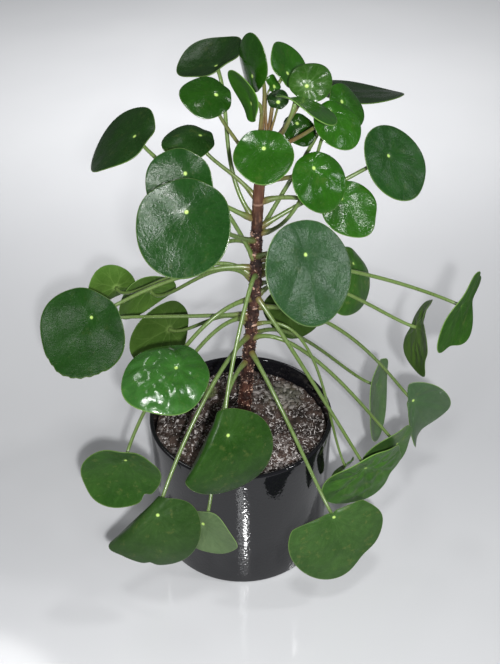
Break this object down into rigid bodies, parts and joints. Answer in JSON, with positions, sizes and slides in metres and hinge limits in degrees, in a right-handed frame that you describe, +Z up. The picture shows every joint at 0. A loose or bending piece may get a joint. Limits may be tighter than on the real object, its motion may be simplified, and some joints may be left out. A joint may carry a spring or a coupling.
{
  "type": "potted chinese money plant",
  "caption": "Potted Chinese money plant: round glossy leaves on long thin stalks around a bare upright stem, in a plain glossy black pot of soil.",
  "frame": {"origin": "middle of the flat underside of the pot", "axes": "+Z up along the pot's axis, -Y towards the side that the picture shows"},
  "size_m": [0.3397, 0.2136, 0.4336],
  "materials": {
    "pot": "glossy black",
    "soil": "dry crumbly potting soil",
    "stem": "reddish brown bark with leaf scars",
    "stalk": "smooth yellow-green leaf stalk",
    "leaf": "glossy fleshy green leaf"
  },
  "bodies": {
    "root": {"pot": "pot", "soil": "soil", "stem": "stem", "leaf_01": "leaf", "leaf_02": "leaf", "leaf_03": "leaf", "leaf_04": "leaf", "leaf_05": "leaf", "leaf_06": "leaf", "leaf_07": "leaf", "leaf_08": "leaf", "leaf_09": "leaf", "leaf_10": "leaf", "leaf_11": "leaf", "leaf_12": "leaf", "leaf_13": "leaf", "leaf_14": "leaf", "leaf_15": "leaf", "leaf_16": "leaf", "leaf_17": "leaf", "leaf_18": "leaf", "leaf_19": "leaf", "leaf_20": "leaf", "leaf_21": "leaf", "leaf_22": "leaf", "leaf_23": "leaf", "leaf_24": "leaf", "leaf_25": "leaf", "leaf_26": "leaf", "leaf_27": "leaf", "leaf_28": "leaf", "leaf_29": "leaf", "leaf_30": "leaf", "leaf_31": "leaf", "leaf_32": "leaf", "leaf_33": "leaf", "leaf_34": "leaf", "leaf_35": "leaf", "leaf_36": "leaf", "leaf_37": "leaf", "leaf_38": "leaf", "leaf_39": "leaf", "leaf_40": "leaf", "leaf_41": "leaf", "leaf_42": "leaf", "leaf_43": "leaf", "leaf_44": "leaf"}
  },
  "joints": []
}
